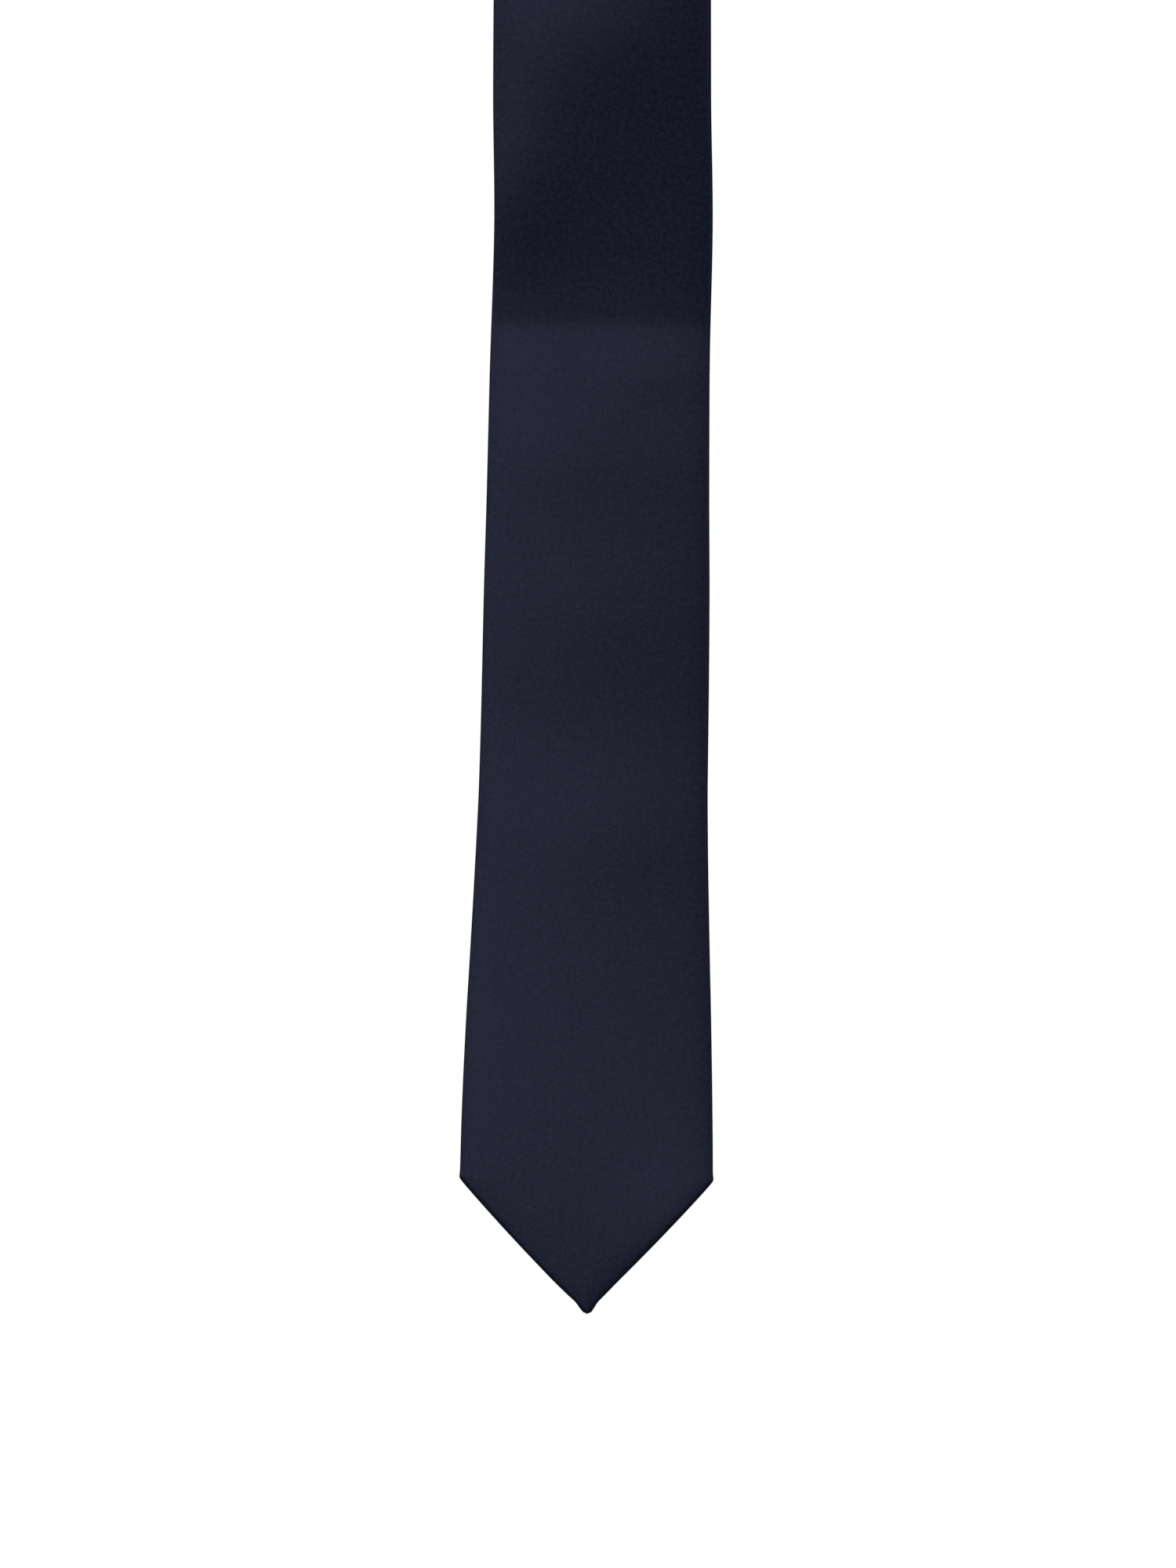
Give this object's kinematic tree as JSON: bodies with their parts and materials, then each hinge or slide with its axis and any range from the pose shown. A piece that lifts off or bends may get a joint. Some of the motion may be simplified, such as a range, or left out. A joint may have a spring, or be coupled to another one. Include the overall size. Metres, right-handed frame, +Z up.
{
  "type": "necktie",
  "caption": "Necktie hung folded over a round rod: wide pointed front blade, narrower pointed tail, folded cloth shell over a wool interlining, lined ends, keeper loop.",
  "frame": {"origin": "centre of the round rod that the tie's neck hangs over, halfway across the tie", "axes": "+X along the rod and across the tie, +Z up along the hanging tie, -Y out of the face of the wide front blade"},
  "size_m": [0.07, 0.0168, 0.8664],
  "materials": {
    "shell_twill": "satin",
    "interlining_wool": "matte",
    "tipping_satin": "satin",
    "sewing_thread": "satin",
    "label_ribbon": "satin"
  },
  "bodies": {
    "neck_saddle": {"neck_shell_saddle": "shell_twill", "interlining_saddle": "interlining_wool"},
    "front_upper": {"neck_shell_front": "shell_twill", "front_shell_upper": "shell_twill", "front_interlining_upper": "interlining_wool", "front_piecing_seam": "sewing_thread", "front_slip_stitch_upper": "sewing_thread"},
    "front_lower": {"front_shell_lower": "shell_twill", "front_interlining_lower": "interlining_wool", "front_tipping": "tipping_satin", "front_slip_stitch_lower": "sewing_thread", "front_bar_tack": "sewing_thread", "keeper_loop": "shell_twill", "keeper_stitches_left": "sewing_thread", "keeper_stitches_right": "sewing_thread", "care_label_sewn_end": "label_ribbon", "care_label_stitches": "sewing_thread"},
    "tail_upper": {"neck_shell_tail": "shell_twill", "tail_shell_upper": "shell_twill", "tail_interlining_upper": "interlining_wool", "tail_piecing_seam": "sewing_thread", "tail_slip_stitch_upper": "sewing_thread"},
    "tail_lower": {"tail_shell_lower": "shell_twill", "tail_interlining_lower": "interlining_wool", "tail_tipping": "tipping_satin", "tail_slip_stitch_lower": "sewing_thread", "tail_bar_tack": "sewing_thread"},
    "care_label": {"care_label": "label_ribbon"}
  },
  "joints": [
    {"name": "front_swing", "type": "hinge", "parent": "neck_saddle", "child": "front_upper", "pos_m": [0, -0.0072, -0.012], "axis": [-1, 0, 0], "range_deg": [0, 80]},
    {"name": "front_fold", "type": "hinge", "parent": "front_upper", "child": "front_lower", "pos_m": [0, -0.0087, -0.43], "axis": [-1, 0, 0], "range_deg": [0, 150]},
    {"name": "tail_swing", "type": "hinge", "parent": "neck_saddle", "child": "tail_upper", "pos_m": [0, 0.0072, -0.012], "axis": [1, 0, 0], "range_deg": [0, 80]},
    {"name": "tail_fold", "type": "hinge", "parent": "tail_upper", "child": "tail_lower", "pos_m": [0, 0.0087, -0.31], "axis": [1, 0, 0], "range_deg": [0, 150]},
    {"name": "care_label_flip", "type": "hinge", "parent": "front_lower", "child": "care_label", "pos_m": [0, -0.00545, -0.6116], "axis": [1, 0, 0], "range_deg": [0, 90]}
  ]
}
